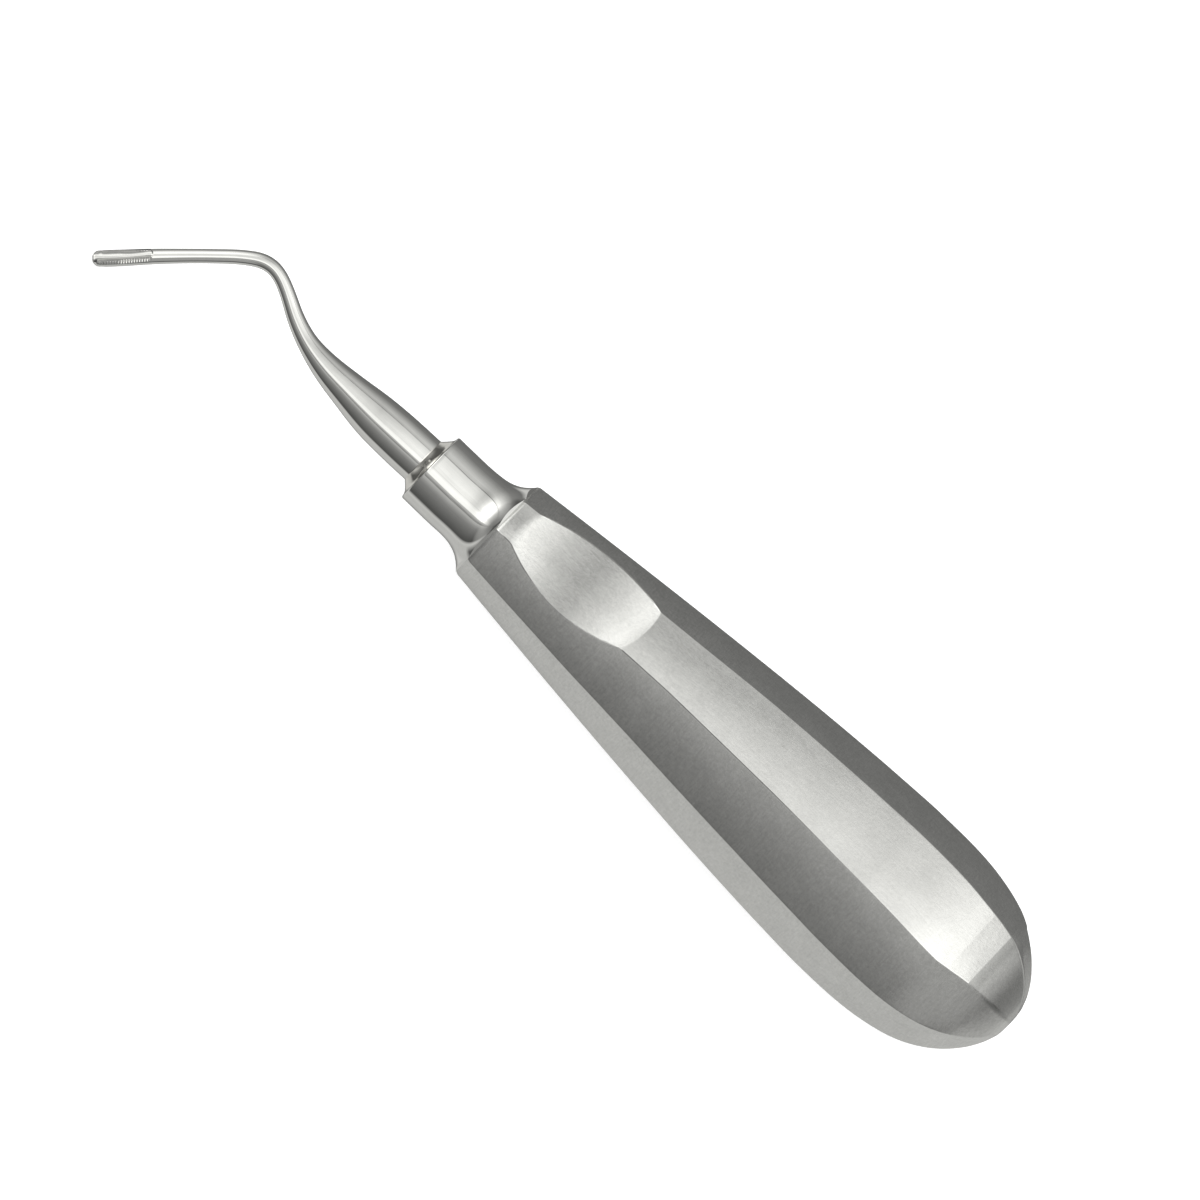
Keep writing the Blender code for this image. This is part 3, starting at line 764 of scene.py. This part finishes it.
def ferrule_piece():
    sides = 256
    corner = SHOULDER_R - 0.035
    rows = []

    def ring(fn):
        rows.append([fn(2 * math.pi * j / sides) for j in range(sides)])

    def polar(x, r, th):
        return Vector((x, r * math.cos(th), r * math.sin(th)))

    def flare(x):
        t = min(max((x - FLARE_START_X) / -FLARE_START_X, 0.0), 1.0)
        return COLLAR_R + FLARE_RISE * t ** FLARE_POWER

    def crest(th):
        """Where the trumpet meets the eight-sided flange."""
        want = octagon_r(th, corner)
        t = ((want - COLLAR_R) / FLARE_RISE) ** (1 / FLARE_POWER)
        return FLARE_START_X + (-FLARE_START_X) * min(t, 1.0)

    square = TANG_SIDE / 2 + 0.02
    hole = lambda x: (lambda th: polar(x, square / max(abs(math.cos(th)), abs(math.sin(th))), th))
    ring(hole(COLLAR_FRONT_X))
    ring(lambda th: polar(COLLAR_FRONT_X, 3.9, th))
    for k in range(5):
        a = math.radians(90 * k / 4)
        ring(lambda th, a=a: polar(COLLAR_FRONT_X + 0.22 * (1 - math.cos(a)),
                                   COLLAR_R - 0.22 * (1 - math.sin(a)), th))
    for x in (-11.4, -10.4, -9.4, -8.4, -7.4):
        ring(lambda th, x=x: polar(x, COLLAR_R, th))
    n = 34
    for k in range(n + 1):
        f = k / n
        def fn(th, f=f):
            end = crest(th)
            x = lerp(FLARE_START_X, end, 1 - (1 - f) ** 1.35)
            return polar(x, min(flare(x), octagon_r(th, corner)), th)
        ring(fn)
    ring(lambda th: polar(0.0, octagon_r(th, corner), th))
    ring(lambda th: polar(0.0, SPIGOT_R, th))
    ring(lambda th: polar(SPIGOT_LENGTH - 0.4, SPIGOT_R, th))
    ring(lambda th: polar(SPIGOT_LENGTH, SPIGOT_R - 0.4, th))
    ring(hole(SPIGOT_LENGTH))
    points = [Vector((p.x, p.y + axis_shift(p.x), p.z)) for r in rows for p in r]
    faces = []
    for i in range(len(rows)):
        k = (i + 1) % len(rows)
        for j in range(sides):
            m = (j + 1) % sides
            faces.append((i * sides + j, i * sides + m, k * sides + m, k * sides + j))
    return piece("ferrule_turned", points, faces, FERRULE_STEEL, 40.0, ("ferrule",))


ferrule_piece()


def fillet_piece():
    """The braze between the collar's face and the shank: a steep, slightly dished cone."""
    sides = 128
    inner = 3.45
    hollow = spline([(0.0, 3.47), (0.35, 3.80), (0.7, 4.17), (1.0, 4.52), (1.18, 4.82), (1.26, 5.10), (1.30, 5.32)])
    profile = [(COLLAR_FRONT_X, inner + 0.005), (COLLAR_FRONT_X, COLLAR_R - 0.14)]
    for k in range(25):
        t = (1 - (k / 24) ** 1.5) * 1.30
        profile.append((COLLAR_FRONT_X - 1.32 + t, hollow(t)))
    profile.append((COLLAR_FRONT_X - 1.40, inner + 0.004))
    points = []
    for x, r in profile:
        for j in range(sides):
            th = 2 * math.pi * j / sides
            points.append(Vector((x, r * math.cos(th) + axis_shift(x), r * math.sin(th))))
    faces = []
    for i in range(len(profile)):
        k = (i + 1) % len(profile)
        for j in range(sides):
            m = (j + 1) % sides
            faces.append((i * sides + j, i * sides + m, k * sides + m, k * sides + j))
    return piece("braze_fillet_ring", points, faces, BRAZE, 50.0, ("braze_fillet",))


fillet_piece()

# ------------------------------------------------------------------ shank, blade and tang: one forging
SHANK = [
    (-12.35, 0.00, 3.45), (-17.7, -0.07, 3.44), (-22.3, -0.22, 3.22),
    (-26.8, -0.26, 2.60), (-31.3, -0.18, 1.97), (-35.3, 0.42, 1.42),
    (-38.6, 1.59, 1.19), (-41.6, 3.15, 1.06), (-43.7, 4.07, 1.02),
    (-45.5, 4.38, 1.04), (-46.9, 4.08, 1.05), (-48.7, 2.95, 1.02),
    (-51.9, 0.16, 0.98), (-55.0, -2.80, 0.99), (-58.0, -5.79, 1.05),
    (-60.9, -8.86, 1.11), (-62.5, -10.50, 1.09), (-63.25, -11.25, 0.93),
    (-63.48, -11.48, 0.72),
]
BLADE_LENGTH = 7.9
BEND = Vector((0.0, math.cos(BEND_PLANE), math.sin(BEND_PLANE)))
OPENING = Vector((0.0, -math.sin(BEND_PLANE), math.cos(BEND_PLANE)))


blade_dir = (Vector((-0.694, 0.0, 0.0)) - BEND * 0.720).normalized()
blade_side = blade_dir.cross(OPENING).normalized()
if blade_side.dot(BEND * 0.719 - along * 0.695) < 0:
    blade_side = -blade_side
SHANK_STEEL = mirror_steel("mirror_steel_shank", level=0.88, rough=0.04,
                           ground=(Vector((-58.03, 0.0, 0.0)) - BEND * 5.80, blade_dir, blade_side))


def catmull(rows, step):
    """A smooth path through the stations: (x, offset, radius) rows."""
    pts = [np.array(r, float) for r in rows]
    out = []
    for i in range(len(pts) - 1):
        p1, p2 = pts[i], pts[i + 1]
        p0 = pts[i - 1] if i else p1 * 2 - p2
        p3 = pts[i + 2] if i + 2 < len(pts) else p2 * 2 - p1
        d0 = max(np.linalg.norm((p1 - p0)[:2]), 1e-6)
        d1 = max(np.linalg.norm((p2 - p1)[:2]), 1e-6)
        d2 = max(np.linalg.norm((p3 - p2)[:2]), 1e-6)
        m1 = ((p1 - p0) / d0 * d1 + (p2 - p1)) / (d0 + d1) * d1
        m2 = ((p2 - p1) / d1 * d2 + (p3 - p2) / d2 * d1) / (d1 + d2) * d1
        count = max(1, int(round(d1 / step)))
        for k in range(count):
            t = k / count
            out.append(p1 * (2 * t ** 3 - 3 * t ** 2 + 1) + m1 * (t ** 3 - 2 * t ** 2 + t)
                       + p2 * (3 * t ** 2 - 2 * t ** 3) + m2 * (t ** 3 - t ** 2))
    out.append(pts[-1])
    return np.array(out)


def softened(rows, step, width):
    """The path with its corners eased over about `width` millimetres; the ends stay put."""
    n = int(round(3 * width / step))
    kernel = np.exp(-0.5 * (np.arange(-n, n + 1) * step / width) ** 2)
    kernel /= kernel.sum()
    head = 2 * rows[0] - rows[n:0:-1]
    tail = 2 * rows[-1] - rows[-2:-n - 2:-1]
    long = np.vstack([head, rows, tail])
    return np.stack([np.convolve(long[:, c], kernel, 'valid') for c in range(3)], 1)


def shank_piece():
    path = catmull(SHANK, 0.05)
    keep = int(3.0 / 0.05)
    soft = softened(path, 0.05, 0.8)
    fade = np.clip(np.arange(len(path))[::-1] / keep - 0.3, 0, 1)[:, None]
    path = path * (1 - fade) + soft * fade
    seg = np.linalg.norm(np.diff(path[:, :2], axis=0), axis=1)
    length = np.concatenate([[0], np.cumsum(seg)])
    total = length[-1]

    def at(s):
        return np.array([np.interp(s, length, path[:, c]) for c in range(3)])

    def tangent(s):
        a, b = at(max(s - 0.25, 0.0)), at(min(s + 0.25, total))
        d = (b - a)[:2]
        return d / np.linalg.norm(d)

    stops = list(np.arange(0.0, total - 9.2, 0.42))
    stops += list(np.arange(total - 9.2, total - 1.6, 0.0583))
    stops += list(total - 1.6 * (1 - np.linspace(0, 1, 34)))
    heel = total - BLADE_LENGTH
    stops = sorted(s for s in stops if abs(s - heel) > 0.02)
    outer_n, inner_n = 72, 40
    rings = []
    PITCH = 0.35
    half_of = spline([(0.0, 0.82), (3.6, 0.78), (5.6, 0.68), (7.9, 0.56)])
    floor_of = spline([(0.0, 0.22), (3.6, 0.28), (7.9, 0.60)])
    roll_cos, roll_sin = math.cos(math.radians(24)), math.sin(math.radians(24))
    near_teeth = spline([(0.0, 0.0), (0.9, 0.02), (1.2, 0.25), (3.2, 0.3), (4.0, 1.0), (7.3, 1.0), (7.75, 0.3), (7.9, 0.0)])
    far_teeth = spline([(0.0, 0.0), (5.2, 0.0), (6.2, 0.45), (7.3, 0.5), (7.8, 0.0)])

    def ring(s, gouged):
        x, v, r = at(s)
        t2 = tangent(s)
        tang = Vector((t2[0], 0, 0)) + BEND * t2[1]
        side = tang.cross(OPENING).normalized()          # across the blade
        if side.dot(-along * 0.695 + BEND * 0.719) < 0:
            side = -side
        centre = Vector((x, axis_shift(x), 0)) + BEND * v
        a = total - s                                     # from the tip
        half = min(half_of(a), r * 0.94)
        rim = math.sqrt(max(r * r - half * half, 1e-6))
        ang = math.atan2(rim, half)                       # rim's polar angle from the side axis
        floor = min(floor_of(a), rim - 0.05)
        # the heel of the trough has a rounded nose
        lean = -0.22 * smooth01((s - (heel - 0.8)) / 0.8) * (1 - smooth01((s - heel) / 0.8))
        tooth = abs(((a / PITCH) % 1.0) * 2 - 1)
        pts = []
        for k in range(outer_n):
            t = k / outer_n
            t = 0.4 * t + 0.6 * (1 - math.cos(math.pi * t)) / 2
            th = ang - (math.pi + 2 * ang) * t
            rr = r
            if gouged:                                    # notches cut into the far flank from the rim
                far = max(1 - r * (ang - th) / 0.35, 0.0) ** 0.5
                rr -= tooth * 0.18 * far_teeth(a) * far
            pts.append([rr * math.cos(th), rr * math.sin(th), 0.0])
        for k in range(inner_n):
            u = math.cos(math.pi * (1 - k / inner_n)) * 0.5 + (2 * k / inner_n - 1) * 0.5
            if gouged:
                h = lerp(floor, rim, abs(u) ** 1.6)
                cut = 0.0 if u < 0 else 0.18 * far_teeth(a)
                cut *= tooth * math.exp(-((1 - abs(u)) / 0.10) ** 2)
                pts.append([half * u * (1 - cut * 0.9), h - cut * 0.75, lean * (1 - u * u)])
            else:
                th = math.pi / 2 - (math.pi / 2 - ang) * u
                pts.append([r * math.cos(th), r * math.sin(th), lean * (1 - u * u)])
        # flat notches filed across the near rim
        level = r * math.sin(math.pi - ang - math.radians(24) + 0.52 / r)
        filed = near_teeth(a) * smooth01((tooth - 0.3) / 0.4) if gouged else 0.0
        out = []
        for w, h, d in pts:
            w, h = w * roll_cos + h * roll_sin, h * roll_cos - w * roll_sin
            if w < 0 and h > level:
                h -= (h - level) * filed * smooth01((-w - 0.12) / 0.16)
            # the tip is rounded in plan and runs out to an edge
            w *= 0.43 + 0.57 * min(a / 0.6, 1.0) ** 0.36
            h = lerp(0.20, h, 0.15 + 0.85 * min(a / 0.6, 1.0) ** 0.5) - max(0.17 - a, 0.0)
            out.append(centre + side * w + OPENING * h + tang * d)
        return out

    for s in stops:
        if s >= heel and (not rings or rings[-1][0] < heel):
            rings.append((heel - 0.001, ring(heel - 0.001, False)))
            rings.append((heel + 0.13, ring(heel + 0.13, True)))
        if 0 <= s - heel < 0.15:
            continue
        rings.append((s, ring(s, s > heel)))
    points = [p for _, r in rings for p in r]
    n = outer_n + inner_n
    faces = []
    for i in range(len(rings) - 1):
        for j in range(n):
            m = (j + 1) % n
            faces.append((i * n + j, i * n + m, (i + 1) * n + m, (i + 1) * n + j))
    faces.append(tuple(range((len(rings) - 1) * n, len(rings) * n)))
    # square tang behind the shank's root
    root = rings[0][1]
    square = TANG_SIDE / 2
    base = len(points)
    tang_x = (SHANK[0][0] + 0.25, -7.5, -4.0, -2.0, 0.0, 1.5, TANG_END_X - 0.3, TANG_END_X)
    for x in tang_x:
        for p in root:
            th = math.atan2(p.z, p.y - axis_shift(root[0].x))
            r = square / max(abs(math.cos(th)), abs(math.sin(th))) * (0.9 if x == TANG_END_X else 1.0)
            points.append(Vector((x, r * math.cos(th) + axis_shift(x), r * math.sin(th))))
    prev = 0
    for k in range(len(tang_x)):
        cur = base + k * n
        for j in range(n):
            m = (j + 1) % n
            faces.append((prev + j, prev + m, cur + m, cur + j))
        prev = cur
    faces.append(tuple(range(prev, prev + n)))
    return piece("blade_shank_forging", points, faces, SHANK_STEEL, 32.0, ("blade_and_shank",))


shank_piece()

for name, mat in (("tang_pin", RAW_STEEL), ("mouth_braze", BRAZE)):
    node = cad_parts[name]
    node.data.materials.clear()
    node.data.materials.append(mat)

# ------------------------------------------------------------------ table and light
floor_mesh = bpy.data.meshes.new("table")
floor_mesh.from_pydata([(-3, -3, -0.00003), (3, -3, -0.00003), (3, 3, -0.00003), (-3, 3, -0.00003)], [], [(0, 1, 2, 3)])
floor = bpy.data.objects.new("table", floor_mesh)
bpy.context.scene.collection.objects.link(floor)
floor.visible_glossy = False
mat, tree, shader = new_material("white_table")
k = Nodes(tree)
spot = k.noise(k.node("ShaderNodeTexCoord").outputs["Object"], 6.0, 2.0)
k.link(k.mix(spot, (0.90, 0.90, 0.90), (0.93, 0.93, 0.93)), shader.inputs["Base Color"])
shader.inputs["Roughness"].default_value = 0.9
shader.inputs["Specular IOR Level"].default_value = 0.0
shader.inputs["Emission Color"].default_value = (1.0, 1.0, 1.0, 1.0)
shader.inputs["Emission Strength"].default_value = 0.55
floor_mesh.materials.append(mat)

world = bpy.data.worlds.new("studio")
bpy.context.scene.world = world
world.use_nodes = True
tree = world.node_tree
tree.nodes.clear()
k = Nodes(tree)
direction = k.node("ShaderNodeTexCoord").outputs["Generated"]
turn3 = POSE.to_3x3()
d_along = k.dot(direction, turn3 @ along)
d_front = k.dot(direction, turn3 @ to_camera)
d_side = k.dot(direction, turn3 @ across)
psi = k.math('ARCTAN2', d_side, d_front)
psi01 = k.math('MULTIPLY_ADD', psi, 0.5 / math.pi, 0.5)
lat = k.math('ARCSINE', k.math('MINIMUM', k.math('MAXIMUM', d_along, -1.0), 1.0))
lat01 = k.math('MULTIPLY_ADD', lat, 1.0 / math.pi, 0.5)


def ramp(factor, stops, low, high, scale=1.0):
    """A grey ramp through (degrees, level) stops over low..high degrees."""
    stops = sorted(stops)
    if len(stops) > 30:
        half = len(stops) // 2
        past = k.math('GREATER_THAN', factor, (stops[half][0] - low) / (high - low))
        return k.mixf(past, ramp(factor, stops[:half + 1], low, high, scale),
                      ramp(factor, stops[half:], low, high, scale))
    n = k.node("ShaderNodeValToRGB")
    k.link(factor, n.inputs[0])
    els = n.color_ramp.elements
    els[0].position = (stops[0][0] - low) / (high - low)
    els[1].position = (stops[-1][0] - low) / (high - low)
    for d, _ in stops[1:-1]:
        els.new((d - low) / (high - low))
    for el, (d, v) in zip(els, stops):
        v = v * scale
        el.color = (v, v, v, 1.0)
    return n.outputs[0]


# the studio round the instrument's axis: soft box in front, dark flag below, grey room behind
ROUND = [(-180, .16), (-160, .30), (-143, .50), (-131, .53), (-114, .52), (-105, .58), (-99, .34), (-95, .08),
         (-87, .095), (-76, .125), (-60, .175), (-46, .235), (-37, .33), (-30, .46), (-26.2, .46),
         (-25.4, .12), (-24.4, .12), (-23.8, .44), (-22.8, .44), (-22.2, .14), (-21.4, .14), (-20.8, .47),
         (-16.5, .47), (-14, 1.08), (-2, 1.12), (3, .95), (5, .95), (6, .70), (7, .92), (12, .88), (20, .92),
         (28, .86), (40, .80), (50, .74), (53.8, .70), (54.4, .12), (55.6, .12), (56.3, .52), (69, .60), (80, .50),
         (95, .34)]
ROUND += [(112, .20), (140, .16)]
# the same along the axis, for the thumb facet's side of the studio
LENGTH = [(-90, .35), (-76, .50), (-65, .85), (-50, 2.35), (-43, 2.08), (-38, 1.92), (-33, 1.74), (-28, 1.42),
          (-23, 1.08), (-17, .86), (-11, .80), (-6, .92), (0, 1.14), (5, 1.24), (8, 1.34), (15, 1.55), (22, 1.88),
          (29, 2.08), (31, 1.64), (42, 1.66), (50, 1.60), (53, 1.25), (56, .72), (68, .36), (81, .19), (90, .16)]
ENDS = [(-90, .18), (-80, .26), (-65, .52), (-50, .80), (0, .8), (45, .80), (58, .50), (70, .22), (82, .14), (90, .13)]
WEIGHT = [(-90, 1.0), (-80, 1.0), (-55, 0.0), (50, 0.0), (75, 1.0), (90, 1.0)]
SIDE = [(-180, 0.0), (-20, 0.0), (20, 1.0), (60, 1.0), (72, 0.45), (115, 0.2), (180, 0.0)]
round_c = ramp(psi01, ROUND, -180, 180, 0.5)
length_c = ramp(lat01, LENGTH, -90, 90, 0.5)
ends_c = ramp(lat01, ENDS, -90, 90, 0.5)
weight = ramp(lat01, WEIGHT, -90, 90)
side_w = ramp(psi01, SIDE, -180, 180)
boost = k.mixf(side_w, 1.0, k.math('MULTIPLY', length_c, 2.0))
body = k.math('MULTIPLY', k.math('MULTIPLY', round_c, 2.0), boost)
level = k.mixf(weight, body, k.math('MULTIPLY', ends_c, 2.0))


def patch(level, around, length, value):
    """Grey of `value` where both ramps are white."""
    mask = k.math('MULTIPLY', ramp(psi01, around, -180, 180), ramp(lat01, length, -90, 90))
    return k.mixf(mask, level, value)


# a paler stretch of the dark flag below the butt
level = patch(level, [(-78, 0), (-62, 1), (-26, 1), (-16, 0)], [(18, 0), (27, 1), (62, 1), (72, 0)], 0.345)
# a black card above it
level = patch(level, [(80, 0), (105, 1), (143, 1), (162, 0)], [(61, 0), (67, 1), (73, 1), (80, 0)], 0.08)
# pale walls behind the butt, near side and far side, and behind the collar's face
level = patch(level, [(-180, 1), (-145, 1), (-128, 0)], [(8, 0), (15, 1), (50, 1), (60, 0)], 0.52)
level = patch(level, [(95, 0), (108, 1), (180, 1)], [(23, 0), (30, 1), (46, 1), (52, 0)], 0.46)
level = patch(level, [(-180, 1), (-150, 1), (-140, 0), (140, 0), (150, 1), (180, 1)],
              [(-44, 0), (-40, 1), (-22, 1), (-12, 0)], 0.60)
level = patch(level, [(-180, 1), (-130, 1), (-110, 0), (110, 0), (130, 1), (180, 1)],
              [(-90, 1), (-50, 1), (-44, 0)], 0.10)
warm = k.node("ShaderNodeVectorMath", operation='MULTIPLY')
k.link(level, warm.inputs[0])
warm.inputs[1].default_value = (1.0, 1.0, 0.97)
studio = k.node("ShaderNodeBackground")
k.link(warm.outputs[0], studio.inputs["Color"])
studio.inputs["Strength"].default_value = 1.0
plain = k.node("ShaderNodeBackground")
plain.inputs["Color"].default_value = (1.0, 1.0, 1.0, 1.0)
plain.inputs["Strength"].default_value = 1.0
path = k.node("ShaderNodeLightPath")
choose = k.node("ShaderNodeMixShader")
k.link(path.outputs["Is Glossy Ray"], choose.inputs[0])
k.link(plain.outputs[0], choose.inputs[1])
k.link(studio.outputs[0], choose.inputs[2])
out = k.node("ShaderNodeOutputWorld")
k.link(choose.outputs[0], out.inputs["Surface"])

soft_data = bpy.data.lights.new("overhead_softbox", 'AREA')
soft_data.shape = 'SQUARE'
soft_data.size = 1.6
soft_data.energy = 1.2
soft = bpy.data.objects.new("overhead_softbox", soft_data)
bpy.context.scene.collection.objects.link(soft)
soft.location = (0.1, -0.3, 1.2)
soft.rotation_euler = (math.radians(14), math.radians(5), 0)
soft.visible_glossy = False
soft.visible_camera = False
